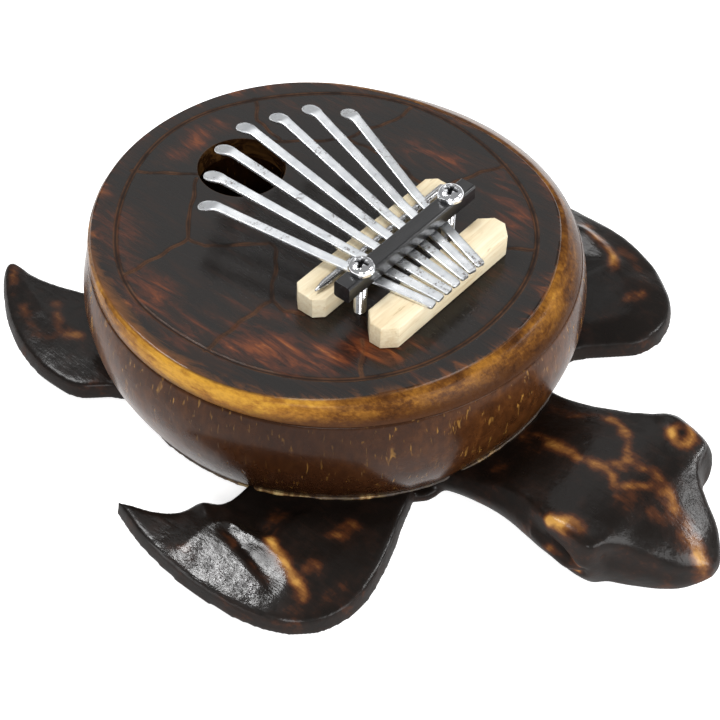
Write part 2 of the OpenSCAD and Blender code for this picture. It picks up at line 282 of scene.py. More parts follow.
def steel(name, colour, dark, roughness, marks=0.0):
    """Bright steel with faint brushing; marks adds brown-black heat and rust spots; marked recesses get
    painted shade.
    """
    p = Paint(name, Metallic=1.0)
    brush = p.noise(0.0005, 3, 0.6, where=p.stretched((1, 0.06, 1)))
    cloud = p.noise(0.004, 4, 0.6)
    tint = p.mix(p.span(cloud, 0.35, 0.7), colour, dark)
    spots = p.calc("MULTIPLY", p.span(p.noise(0.0011, 5, 0.75), 0.52, 0.62),
                   p.span(p.noise(0.008, 2), 0.53, 0.62))
    tint = p.mix(p.calc("MULTIPLY", spots, marks), tint, (0.10, 0.065, 0.045))
    # painted shade: where the mesh marks a recess, the steel is painted near black and made rougher
    recess_and_painted_shade = p.mark("recess_and_painted_shade")
    tint = p.mix(recess_and_painted_shade, tint, (0.012, 0.012, 0.013))
    rough = p.calc("MULTIPLY_ADD", spots, 0.3 * marks,
                   p.span(cloud, 0.3, 0.7, roughness * 0.8, roughness * 1.25))
    rough = p.calc("MULTIPLY_ADD", recess_and_painted_shade, 0.5, rough)
    return p.finish(tint, rough, p.calc("MULTIPLY_ADD", cloud, 0.8, brush), 0.00004)


def black_bar():
    """Black lacquered bar, worn a little duller along its faces."""
    p = Paint("black_bar", Coat_Weight=0.2, Coat_Roughness=0.12)
    cloud = p.noise(0.006, 4, 0.6)
    scuff = p.span(p.noise(0.0008, 3, 0.7, where=p.stretched((0.2, 1, 1))), 0.62, 0.8)
    colour = p.mix(p.calc("MULTIPLY", scuff, 0.5), (0.006, 0.006, 0.007),
                   (0.035, 0.034, 0.036))
    rough = p.calc("MULTIPLY_ADD", scuff, 0.15, p.span(cloud, 0.3, 0.7, 0.26, 0.38))
    return p.finish(colour, rough, p.calc("MULTIPLY_ADD", cloud, 2.0, scuff), 0.00008)


def dried_glue():
    """Glue and raw wood fibre along the foot of the shell."""
    p = Paint("dried_glue", Coat_Weight=0.3, Coat_Roughness=0.3)
    lump = p.noise(0.0018, 4, 0.65)
    patch = p.calc("MULTIPLY", p.mark("torn"), p.span(p.noise(0.005, 3), 0.35, 0.5))
    raw = p.ramp(lump, (0.35, (0.05, 0.022, 0.007)), (0.48, (0.26, 0.13, 0.035)),
                 (0.62, (0.58, 0.42, 0.18)))
    colour = p.mix(patch, (0.022, 0.012, 0.007), raw)
    return p.finish(colour, p.span(lump, 0.3, 0.7, 0.35, 0.7), lump, 0.0003)


# ---------------------------------------------------------------- mesh tools
def show(name, mesh, material, body, replaces=(), crease=40):
    """Adds a piece to the scene; a tine has no body."""
    mesh.shade_smooth()
    if crease:
        mesh.set_sharp_from_angle(angle=math.radians(crease))
    mesh.materials.clear()
    mesh.materials.append(material)
    piece = bpy.data.objects.new(name, mesh)
    bpy.context.scene.collection.objects.link(piece)
    if body:
        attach(piece, body)
    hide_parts(*replaces)
    return piece


def as_mesh(name, points, faces, marks=None):
    """A mesh from millimetre points, its faces turned outward."""
    mesh = bpy.data.meshes.new(name)
    mesh.from_pydata((np.asarray(points).reshape(-1, 3) * MM).tolist(), [], faces)
    outward(mesh)
    for mark, values in (marks or {}).items():
        add_mark(mesh, mark, values)
    return mesh


def outward(mesh):
    """Turns the faces outward."""
    made = bmesh.new()
    made.from_mesh(mesh)
    bmesh.ops.recalc_face_normals(made, faces=made.faces)
    made.to_mesh(mesh)
    made.free()


def add_mark(mesh, name, values):
    """Stores one number per point, for a material to read."""
    layer = mesh.attributes.new(name, "FLOAT", "POINT")
    layer.data.foreach_set("value", np.asarray(values, np.float32).ravel())


def skin(rows, cols, wrap_rows=False, wrap_cols=True):
    """Quads over a grid of points, joined round where it wraps."""
    faces = []
    for r in range(rows if wrap_rows else rows - 1):
        a, b = r * cols, (r + 1) % rows * cols
        for c in range(cols if wrap_cols else cols - 1):
            d = (c + 1) % cols
            faces.append((a + c, a + d, b + d, b + c))
    return faces


def lathe(profile, turns, centre=(0, 0), closed=False):
    """Points of an (r, z) profile swept round a vertical axis, and its quads."""
    angle = np.arange(turns) * 2 * math.pi / turns
    r, z = (np.asarray(profile, float)[:, k, None] for k in (0, 1))
    points = np.stack([centre[0] + r * np.cos(angle), centre[1] + r * np.sin(angle),
                       z + 0 * angle], -1)
    return points, skin(len(profile), turns, wrap_rows=closed)


def lumps(points, size, seed=0.0):
    """Smooth noise from -1 to 1 at each point, its lumps about size across."""
    return np.array([noise.noise(Vector(p)) for p in points / size + seed])


def smooth(stations, steps):
    """A smooth curve through the rows of a table, with steps points per gap."""
    p = np.asarray(stations, float)
    p = np.vstack([p[:1], p, p[-1:]])
    out = []
    for a, b, c, d in zip(p, p[1:], p[2:], p[3:]):
        for t in np.arange(steps) / steps:
            out.append(0.5 * (2 * b + (c - a) * t + (2 * a - 5 * b + 4 * c - d) * t * t
                              + (3 * b - a - 3 * c + d) * t ** 3))
    return np.array(out + [p[-1]])


def reach(points, line):
    """Each point's distance to a line through given points."""
    line = np.asarray(line, float)
    points = points[:, :line.shape[1]]
    best = np.full(len(points), 1e9)
    for a, b in zip(line, line[1:] if len(line) > 1 else line):
        d = b - a
        t = np.clip((points - a) @ d / max(d @ d, 1e-9), 0, 1)
        best = np.minimum(best, np.linalg.norm(points - a - t[:, None] * d, axis=1))
    return best


def hump(distance, width):
    """1 at no distance, fading to 0 past about two widths."""
    return np.exp(-(distance / width) ** 2)


# ---------------------------------------------------------------- carved base
# head: y, crown z, then x and z of the top edge, the cheek and the jaw, and the underside z
HEAD = [
    (-48, 8.3, 22, 6.8, 24, 4.5, 23, 1.5, 0.3), (-58, 9.3, 20.8, 8, 23.2, 5, 21.6, 1.5, 0.3),
    (-67, 11.8, 19, 10.3, 21.9, 6.8, 19.2, 1.5, 0.3), (-77, 16, 18.6, 14.2, 21.8, 8.8, 18.4, 1.5, 0.3),
    (-86, 19, 20.5, 17.2, 23.8, 10.4, 19.6, 1.5, 0.3), (-93, 20.5, 22.8, 18.5, 25.4, 11, 20.8, 1.6, 0.3),
    (-99, 20.9, 24, 19, 25.8, 10.8, 21.3, 1.6, 0.3), (-104.3, 20.4, 23.8, 18.4, 24.8, 10.2, 20.6, 1.7, 0.3),
    (-107.6, 19.5, 18.4, 17.2, 19.8, 9.4, 17.4, 2, 0.3), (-111, 18.4, 15, 15.9, 17.2, 8.6, 15.8, 2.2, 0.3),
    (-117, 16.4, 12.2, 13.7, 14, 7.4, 12.8, 2.6, 0.4), (-123, 13.7, 9.4, 11.2, 10.6, 6.5, 9.6, 3, 1),
    (-127, 11, 6.4, 9.4, 7.2, 6, 6.4, 3.6, 2.2), (-130.3, 8.6, 2, 7.9, 2.2, 6.3, 1.9, 4.8, 4)]


def head_part():
    """The head, lofted through its stations; its snout was left flatter on the right."""
    loops = []
    for y, crown, xe, ze, xc, zc, xj, zj, zu in smooth(HEAD, 5):
        flatter = 0.6 * min(max((-103 - y) / 8, 0), 1)
        right, left = (head_side(crown, xe, edge, xc, zc, xj, zj, zu)
                       for edge in (ze + (crown - ze) * flatter, ze))
        full = right + [(0, zu)] + [(-x, z) for x, z in left[:0:-1]]
        loops.append([(x, y, z) for x, z in full])
    points = np.array(loops)
    points[..., 1] -= eyes_forward(points[..., 0], points[..., 1])
    points[..., 0] -= 1.3 * hump(points[..., 1] + 118, 13)
    rows, cols = points.shape[:2]
    caps = [tuple(range(cols)), tuple(range((rows - 1) * cols, rows * cols))]
    return points.reshape(-1, 3), skin(rows, cols) + caps


def head_side(crown, xe, ze, xc, zc, xj, zj, zu):
    """Half a section of the head: over the crown, down the cheek and under the jaw."""
    side = [(xe * a, crown + (ze - crown) * a ** 2.2) for a in np.linspace(0, 1, 9)]
    side += [(xe + (xc - xe) * a, ze + (zc - ze) * a) for a in (0.3, 0.65, 1)]
    side += [(xc + (xj - xc) * a ** 1.6, zc + (zj - zc) * a) for a in (0.35, 0.7, 1)]
    return side + [((xj - 1) * a, zu) for a in (1, 0.5)]


def eyes_forward(x, y):
    """The brows were cut further forward than the stations, more so on the right."""
    return (2.4 + 2.6 / (1 + np.exp(-x / 4))) * np.exp(-((y + 103) / 13) ** 2)


# flippers: outline at the table, and carved ridges and hollows as lines of (x, y, z)
FRONT_EDGE = [(-40, -22), (-50, -20.5), (-60.5, -21), (-65.2, -19.6), (-68, -15.6), (-73.6, -13.6),
              (-77.6, -8.6), (-80.2, -2), (-82.3, 1), (-84, -3), (-87, -13), (-88.9, -26), (-88.9, -38),
              (-87.6, -48), (-84.3, -57.3), (-78.2, -64.2), (-70, -67.4), (-61, -67.4), (-50, -64.4),
              (-38, -59.4), (-26, -51)]
FRONT_BREAK = [(-85.6, -19.5, 5.7), (-81.8, -24.3, 7.6), (-77.4, -26.3, 8.3), (-73.6, -24.6, 8.9),
               (-69.6, -18.8, 8.7)]
FRONT_CREST = [(-73.9, -27, 8.8), (-75.6, -35.3, 8.6), (-78.6, -46.3, 7.8), (-81.4, -52, 6.8)]
FRONT_DIP = [(-72.4, -29, 7.6), (-74.4, -37, 7.3), (-77.2, -46.5, 6.9)]
FRONT_RIDGE = [(-70.4, -28, 9.0), (-69.6, -36, 9.2), (-70.4, -44.5, 9.0), (-73.4, -51.5, 8.0),
               (-75, -57.5, 6.8)]
FRONT_HOLLOW = [(-56, -26, 4.6), (-62, -30, 4.4), (-66, -34.5, 4.9)]
FRONT_PLATEAU = [(-44, -44, 6.6), (-52.6, -41.2, 8.0), (-61.2, -40.2, 8.6), (-67.6, -42, 8.9)]
FRONT_FLAT = [(-50, -53, 7.6), (-63, -56, 7.9)]
# the right front flipper, drawn on the left like the others: broader at its corner
RIGHT_EDGE = [(-42, -24), (-52, -22.5), (-62.5, -23), (-67.2, -21.6), (-70, -17.6), (-75.6, -15.6),
              (-79.6, -10.6), (-82, -3), (-84, 1), (-86, -3), (-88.3, -14), (-88.9, -26), (-89, -38),
              (-87.6, -46), (-84.3, -55), (-80.2, -61.6), (-74.4, -68.2), (-67, -71.9), (-60, -72.6),
              (-53.5, -70.6), (-47.5, -65.2), (-40, -58.5), (-26, -50.5)]
RIGHT_CREST = [(-72, -20, 8.6), (-78.4, -28.9, 9), (-79.2, -33.5, 9.1), (-77.6, -39, 9), (-74, -47, 8.6)]
RIGHT_HOLLOW = [(-60, -28, 4.8), (-66, -33, 4.8), (-70, -37, 5.4)]
RIGHT_PLATEAU = [(-46, -46, 6.6), (-56, -44, 8), (-64, -44, 8.6), (-71, -52, 8.2), (-74, -60, 7.2)]
RIGHT_DIP = [(-82, -32, 7.2), (-80.6, -42, 6.8), (-77.4, -52, 6.6)]
RIGHT_FLAT = [(-50, -57, 7.6), (-60, -63, 7.8)]
REAR_EDGE = [(-22, 45), (-27.8, 53), (-31.8, 60.8), (-33.8, 66.3), (-35.6, 72), (-36.8, 78), (-36.4, 84),
             (-37.8, 87.3), (-42, 85.8), (-48, 79.4), (-54, 71.4), (-58.6, 62.4), (-61.4, 53), (-62.2, 44.5),
             (-60.8, 36.6), (-55, 30), (-46, 22)]
REAR_CREST = [(-40, 40, 7.2), (-46, 52, 7.2), (-46.5, 64, 7.0), (-42, 76, 6.4), (-39.6, 84, 5.5)]
REAR_SIDE = [(-52, 40, 6.5), (-55.5, 52, 6.3), (-52, 65, 6.1), (-45.8, 77, 5.7)]


def inset(outline, amount):
    """The outline moved inward by amount at each corner."""
    p = np.asarray(outline, float)
    along = np.roll(p, -1, 0) - np.roll(p, 1, 0)
    along /= np.linalg.norm(along, axis=1)[:, None]
    across = np.stack([along[:, 1], -along[:, 0]], 1)
    turn = np.sum(p[:, 0] * np.roll(p[:, 1], -1) - p[:, 1] * np.roll(p[:, 0], -1))
    return p - across * amount * np.sign(turn)


def fin_part(edge, lines, bevel, rim, side):
    """A flipper: flat facets between its carved lines, over a bevelled outline."""
    edge = smooth(np.vstack([edge, edge[:1]]), 3)[:-1]
    top = [(*p, rim) for p in inset(edge, bevel)]
    n = len(top)
    spots, links = list(top), [(i, (i + 1) % n) for i in range(n)]
    for line in lines:
        links += [(len(spots) + i, len(spots) + i + 1) for i in range(len(line) - 1)]
        spots += line
    found = geometry.delaunay_2d_cdt([Vector(p[:2]) for p in spots], links,
                                     [list(range(n))], 1, 1e-5)
    z = [spots[o[0]][2] if o else rim for o in found[3]]
    xy = np.array([tuple(v) for v in found[0]])
    m = len(xy)
    floor = xy.copy()
    rims = {}
    for i, o in enumerate(found[3]):
        for k in o:
            if k < n:
                rims[k] = i
                floor[i] = edge[k]
    points = np.vstack([np.column_stack([xy, z]), np.column_stack([floor, np.full(m, 0.3)])])
    points[:, 0] *= side
    faces = [tuple(f) for f in found[2]] + [tuple(i + m for i in f[::-1]) for f in found[2]]
    for k in range(n):
        a, b = rims[k], rims[(k + 1) % n]
        faces.append((a, a + m, b + m, b))
    return points, faces


PLATE_INSET, VOXEL = 1.2, 0.74
WEB_X, WEB_Y = 23, -52


def carved_base(material):
    """Disc, head and flippers fused into one carving, then worked over by hand."""
    plate_r = shell_at(FOOT_Z) - PLATE_INSET
    disc, disc_faces = lathe([(0.01, 0), (plate_r - 0.6, 0), (plate_r, 0.6), (plate_r, FOOT_Z - 0.5),
                              (plate_r - 0.4, FOOT_Z), (0.01, FOOT_Z)], 160, SHELL_C)
    disc_faces += [tuple(range(160)), tuple(range(5 * 160, 6 * 160))]
    parts = [(disc.reshape(-1, 3), disc_faces), head_part()]
    for side in (-1, 1):
        web, web_faces = lathe([(7.1, 0), (7.5, 0.5), (7.5, FOOT_Z - 0.5), (7.2, FOOT_Z)], 48,
                               (WEB_X * side, WEB_Y))
        parts.append((web.reshape(-1, 3), web_faces + [tuple(range(48)), tuple(range(144, 192))]))
    parts.append(fin_part(FRONT_EDGE, [FRONT_BREAK, FRONT_CREST, FRONT_DIP, FRONT_RIDGE,
                                       FRONT_HOLLOW, FRONT_PLATEAU, FRONT_FLAT], 1.0, 5.5, 1))
    parts.append(fin_part(RIGHT_EDGE, [RIGHT_CREST, RIGHT_HOLLOW, RIGHT_PLATEAU, RIGHT_DIP,
                                       RIGHT_FLAT], 1.0, 5.5, -1))
    for side in (1, -1):
        parts.append(fin_part(REAR_EDGE, [REAR_CREST, REAR_SIDE], 1.1, 5.3, side))
    rough = bmesh.new()
    for k, (points, faces) in enumerate(parts):
        rough.from_mesh(as_mesh(f"part_{k}", points, faces))
    mesh = bpy.data.meshes.new("rough")
    rough.to_mesh(mesh)
    rough.free()
    block = bpy.data.objects.new("rough", mesh)
    bpy.context.scene.collection.objects.link(block)
    fuse = block.modifiers.new("fuse", "REMESH")
    fuse.mode, fuse.voxel_size = "VOXEL", VOXEL * MM
    ease = block.modifiers.new("ease", "SMOOTH")
    ease.factor, ease.iterations = 0.5, 12
    seen = block.evaluated_get(bpy.context.evaluated_depsgraph_get())
    mesh = bpy.data.meshes.new_from_object(seen)
    bpy.data.objects.remove(block)
    points = np.zeros(len(mesh.vertices) * 3)
    mesh.vertices.foreach_get("co", points)
    points = points.reshape(-1, 3) / MM
    normals = np.zeros(len(points) * 3)
    mesh.vertices.foreach_get("normal", normals)
    normals = normals.reshape(-1, 3)
    points = sculpt(points, normals)
    mesh.vertices.foreach_set("co", (points * MM).ravel())
    add_mark(mesh, "net", scorch(points))
    side = np.clip((0.75 - np.abs(normals[:, 2])) / 0.3, 0, 1)
    add_mark(mesh, "rough", blade(points) * (1 - side))
    add_mark(mesh, "side", side)
    return show("turtle_carving", mesh, material, "body", ["turtle_base"], 0)


# gouge strokes on the head's left side, mirrored on the right: line, width, height
HEAD_STROKES = [
    ([(-24.6, -86, 14.4), (-25.6, -92, 13.6), (-25.8, -99, 12.6), (-24.6, -106, 9.6)], 1.1, -2.0),
    ([(-25.4, -90, 10.4), (-26, -96, 9.8), (-25.4, -101.5, 9.0)], 1.9, 0.9),
    ([(-24.6, -86, 14.4), (-25.2, -89.5, 8.4), (-25.4, -96, 6.4), (-24.6, -106, 7.8)], 1.0, -1.2),
    ([(-23.4, -88, 17.2), (-22.8, -94.5, 18), (-21.6, -101.5, 17.6)], 2.4, 0.9),
    ([(-18, -109, 12), (-15.2, -114, 10), (-11.6, -121, 8.6), (-7, -127, 7.6)], 2.2, -0.3),
    ([(-20.5, -110.4, 13.5), (-18.4, -109.6, 9.5)], 1.8, -0.8)]
# the right eye swells further out than the left one: line, width, height
RIGHT_EYE = ([(22.6, -100, 15.5), (22.4, -108.5, 13.5), (20.5, -112, 10)], 5.0, 2.8)


def sculpt(points, normals):
    """Gouge strokes, hand unevenness and a flat underside."""
    lift = 0.14 * lumps(points, 9) + 0.05 * lumps(points, 3, 7)
    lift += RIGHT_EYE[2] * hump(reach(points, RIGHT_EYE[0]), RIGHT_EYE[1])
    for line, width, height in HEAD_STROKES:
        right = [(-x, y - 2.6, z) for x, y, z in line]
        for one in (line, right):
            lift += height * hump(reach(points, one), width)
    carved = points + normals * (lift * np.clip(points[:, 2] - 0.4, 0, 1))[:, None]
    carved[:, 2] = np.maximum(carved[:, 2], 0)
    return carved


# pale lines the torch left on the wood: points (x, y) or (x, y, z), width, strength
LEFT_NET = [
    ([(-68.3, -39.2), (-69.7, -44.5), (-73, -51.5), (-74.6, -57.5)], 2.2, 0.85),
    ([(-63.4, -35.4), (-60, -36.6)], 3.4, 0.42), ([(-55, -52), (-50.5, -51.5)], 2.8, 0.5),
    ([(-68.5, -51.5), (-66, -53)], 2.8, 0.4), ([(-76, -40.5), (-76.8, -47)], 1.8, 0.42),
    ([(-74, -30), (-75, -34)], 1.6, 0.35), ([(-84.5, -21.5), (-83, -24)], 1.8, 0.45),
    ([(-84, -57), (-76, -62), (-66, -64)], 3.4, 0.28),
    ([(-39.9, 83), (-44, 79), (-47, 76)], 2.0, 0.62),
    ([(-49, 69), (-51, 66), (-53.6, 59.4), (-52, 55.4), (-49, 54.4)], 2.4, 0.5),
    ([(-42.9, 63), (-46, 58.8), (-49, 54.5)], 2.2, 0.5), ([(-48.6, 51.2), (-47.2, 49)], 2.4, 0.7),
    ([(-58, 35.5), (-56.5, 33.5)], 3.0, 0.45)]
RIGHT_NET = [
    ([(81.9, -32.6), (79.4, -37.8), (77.4, -43), (75.4, -46.6), (71.5, -48.6)], 2.4, 0.7),
    ([(81, -45.5), (81.2, -49), (78.4, -55.6)], 2.4, 0.42),
    ([(63.7, -58.8), (66.3, -59.5), (69.4, -60.8)], 2.4, 0.45),
    ([(56, -40), (62, -33), (70, -27)], 2.4, 0.35),
    ([(40, 80), (44, 72), (49, 64), (48, 55), (55, 48)], 2.2, 0.5),
    ([(48, 55), (42, 50)], 2.2, 0.5), ([(49, 64), (57, 60)], 2.0, 0.42)]
HEAD_NET = [
    ([(0.5, -73.3), (-0.4, -77.6), (-1.2, -81.6), (-2.5, -88.4), (-1.7, -94.5), (2.7, -99.8),
      (5.3, -105.8), (3.0, -111.5), (0.6, -115.3)], 2.3, 0.68),
    ([(12.2, -76), (15, -82.1), (14.7, -86.3), (13.8, -90), (11.3, -93.5), (6.3, -96.2), (2.7, -99.8)],
     2.1, 0.60),
    ([(-1.7, -94.5), (-3.1, -98.3), (-5.3, -101), (-1.1, -105.5), (3, -111.5)], 2.2, 0.66),
    ([(0.6, -115.3), (-1.8, -121), (-3.6, -127)], 3.4, 0.74),
    ([(-6.3, -104), (-5.4, -110), (-4.1, -116)], 3.0, 0.42),
    ([(20.4 + 2.6 * math.cos(a), -103.6 + 2.6 * math.sin(a), 19.8)
      for a in np.linspace(0.9, 6.4, 12)], 2.0, 1.0), ([(20.4, -98.2, 19.4), (24, -101, 18.4)], 1.4, 0.5),
    ([(-23.0, -94, 18), (-22.2, -98, 18.4), (-21.6, -101.4, 18.2)], 2.2, 1.3),
    ([(-24.6, -84.5, 15.8), (-24.0, -90, 17.4)], 1.7, 0.62),
    ([(-26, -95.5, 11), (-25.8, -99.5, 10.6)], 1.2, 0.5),
    ([(-25.2, -89.5, 8.4), (-25.6, -96, 6.2), (-24.8, -104.5, 7.6)], 0.9, 0.62),
    ([(-24.8, -87, 14.8), (-25.7, -92, 14.2), (-25.9, -99, 13.3), (-24.9, -105.5, 10.4)], 0.7, 0.55),
    ([(-14.5, -70.2), (-13, -71)], 2.8, 0.4), ([(-5.4, -75), (2, -66)], 3.0, 0.3),
    ([(12, -72), (15, -67)], 3.0, 0.3)]


def scorch(points):
    """How little the torch darkened each point, from 0 to 1."""
    bent = points + 0.9 * np.stack([lumps(points, 5, 3), lumps(points, 5, 11), 0 * points[:, 2]], 1)
    net = np.zeros(len(points))
    for line, width, strength in LEFT_NET + RIGHT_NET + HEAD_NET:
        net = np.maximum(net, strength * hump(reach(bent, line), width))
    fade = np.clip((points[:, 2] - 3) / 4, 0, 1)
    return net * fade * (0.85 + 0.4 * lumps(points, 4, 5))


# where hands and tools left the lacquer brightest: points (x, y), width, strength
BRIGHT = [([(-84, -22), (-83.5, -36), (-80, -48)], 6.5, 1.0), ([(-71.5, -27), (-71, -36)], 3, 0.7),
          ([(84, -24), (84, -38)], 5, 0.25), ([(17, -109.5), (20, -110.5)], 3.2, 0.9),
          ([(-1.5, -122), (-3, -127)], 3.0, 0.6), ([(-21, -104), (-18.5, -105.5)], 1.6, 0.7),
          ([(-37, -59.5), (-46, -62), (-54, -65)], 1.6, 0.5)]


def blade(points):
    """Where the wood was worked and polished, from 0 to 1."""
    mark = np.zeros(len(points))
    for line, width, strength in BRIGHT:
        mark = np.maximum(mark, strength * hump(reach(points, line), width))
    return mark


# ---------------------------------------------------------------- shell and glue
def shell_at(z):
    """The shell's outer radius at height z."""
    return SHELL_R - (z - BELLY_Z) ** 2 / (2 * BELLY_CURVE)


def coconut_shell(material):
    """The resonator's wall, slightly uneven, with a fine seam under the soundboard."""
    outer = [(shell_at(z), z) for z in np.linspace(FOOT_Z, SEAT_Z - 0.3, 60)]
    lip = [(shell_at(SEAT_Z) - 0.06, SEAT_Z - 0.1), (shell_at(SEAT_Z) - 0.25, SEAT_Z)]
    inner = [(shell_at(z) - WALL, z) for z in np.linspace(SEAT_Z, FOOT_Z, 16)]
    profile = np.array(outer + lip + inner)
    points, faces = lathe(profile, 480, SHELL_C, closed=True)
    flat = points.reshape(-1, 3)
    away = flat[:, :2] - SHELL_C
    away /= np.linalg.norm(away, axis=1)[:, None]
    uneven = 0.22 * lumps(flat, 16, 2) + 0.07 * lumps(flat, 5, 9) - 0.25
    free = np.clip((flat[:, 2] - FOOT_Z) / 3, 0, 1)
    near_rim = np.clip((SEAT_Z - flat[:, 2]) / 5, 0, 1)
    uneven = uneven * near_rim - 0.28 * (1 - near_rim)
    flat[:, :2] += away * (uneven * free)[:, None]
    seam = np.repeat(hump(profile[:, 1] - SEAT_Z, 0.28), 480)
    theta = np.arctan2(away[:, 1], away[:, 0])
    # painted shade: darker round the front-left, lower down, towards the back-right, and a little everywhere
    low_down = np.clip((24 - flat[:, 2]) / 20, 0, 1)
    painted_shade = 0.66 * nudge(theta, 212, 36) + 0.12 + 0.3 * low_down + 0.3 * nudge(theta, 30, 60)
    mesh = as_mesh("coconut_bowl", flat, faces, {"seam": seam, "painted_shade": np.clip(painted_shade, 0, 0.85)})
    return show("coconut_bowl", mesh, material, "body", ["coconut_shell"])


def foot_line(carving, turns):
    """How high the carving comes up the shell, at each step round the shell."""
    points = np.zeros(len(carving.data.vertices) * 3)
    carving.data.vertices.foreach_get("co", points)
    points = points.reshape(-1, 3) / MM
    away = points[:, :2] - SHELL_C
    beside = np.abs(np.linalg.norm(away, axis=1) - shell_at(points[:, 2])) < 0.9
    step = (np.arctan2(away[:, 1], away[:, 0]) / (2 * math.pi) * turns).astype(int) % turns
    z = np.full(turns, FOOT_Z)
    np.maximum.at(z, step[beside], points[beside, 2])
    return sum(np.roll(z, k) * w for k, w in ((-2, 0.1), (-1, 0.2), (0, 0.4), (1, 0.2), (2, 0.1)))


def glue_bead(material, carving):
    """The bead of glue and torn fibre where the shell stands in the carving."""
    turns, round_ = 900, 10
    angle = np.arange(turns) * 2 * math.pi / turns
    rise = foot_line(carving, 150)
    rise = np.interp(angle, np.arange(151) * 2 * math.pi / 150, np.append(rise, rise[0]))
    ring = np.stack([np.cos(angle), np.sin(angle), 0 * angle], -1)
    thick = 0.42 + 0.2 * lumps(ring * 60, 5) + 0.14 * lumps(ring * 60, 1.4, 4)
    spin = np.arange(round_)[:, None] * 2 * math.pi / round_
    r = shell_at(rise) + thick * (0.3 + np.cos(spin))
    z = rise + np.maximum(thick * np.sin(spin) * 1.1, -0.3)
    points = np.stack([SHELL_C[0] + r * np.cos(angle), SHELL_C[1] + r * np.sin(angle), z], -1)
    torn = (nudge(angle, 205, 11) + nudge(angle, 258, 3) + nudge(angle, 289, 2.5)
            + nudge(angle, 228, 3))
    mesh = as_mesh("glue_bead", points, skin(round_, turns, wrap_rows=True),
                   {"torn": np.tile(np.clip(torn, 0.06, 1), round_)})
    return show("glue_bead", mesh, material, "body", (), 0)


# ---------------------------------------------------------------- soundboard
# lines cut between the scutes: points (x, y)
SCUTES = [
    [(-18.1, 54.1), (-7, 39.5), (-6.5, 38.2)],
    [(-8.6, 38.6), (-22.4, 28.9), (-27.5, 24.1)], [(-27.5, 24.1), (-35.4, 25), (-49, 27)],
    [(-27.5, 24.1), (-26.9, 18.7), (-14.8, 6.6), (-15.6, 3.6), (-17, 2.1), (-23.2, -2.3), (-30.6, -7.8)],
    [(-30.6, -7.8), (-31, -12.9), (-29, -17)], [(-30.6, -7.8), (-41.7, -7.1), (-55, -7.1)],
    [(27.6, 49.7), (20.9, 42.5), (18.3, 31.7)], [(14.6, 35.6), (18.3, 31.7), (25, 24.5), (31.4, 18.7)],
    [(53.5, 13.5), (46, 13.6), (39.7, 16.5), (31.4, 18.7)], [(51.5, -21.6), (44.4, -18), (29, -13)],
    [(31.4, 18.7), (33, 4), (29, -13)], [(29.3, -48.1), (25.1, -42)], [(-36.3, -42.5), (-25.9, -34.5)]]


def nudge(angle, at, wide):
    """1 at an angle in degrees from +X, fading to 0 about two widths away."""
    return np.exp(-(((np.degrees(angle) - at + 540) % 360 - 180) / wide) ** 2)


def board_at(angle):
    """The radius of the board's top edge, flattened on the right."""
    return (BOARD_R - BOARD_FLAT * nudge(angle, 12, 30) + 1.3 * nudge(angle, 320, 14)
            + nudge(angle, 200, 20))


def ring_at(angle):
    """The carved ring, which the hand drew a little wavy."""
    return (RING_R + 1.2 * nudge(angle, 80, 22) - 1.2 * nudge(angle, 178, 18)
            + 0.5 * np.sin(5 * angle))


def carved_lines(xy):
    """Depth, 0 to 1, of the ring and the scute lines cut into the top."""
    r, angle = np.hypot(xy[:, 0], xy[:, 1]), np.arctan2(xy[:, 1], xy[:, 0])
    recess_and_painted_shade = 0.9 * hump(r - ring_at(angle), 0.5)
    shaky = xy + 0.25 * np.stack([np.sin(xy[:, 1] * 0.9), np.sin(xy[:, 0] * 0.8)], 1)
    for line in SCUTES:
        recess_and_painted_shade = np.maximum(recess_and_painted_shade, 0.75 * hump(reach(shaky, line), 0.42))
    return recess_and_painted_shade


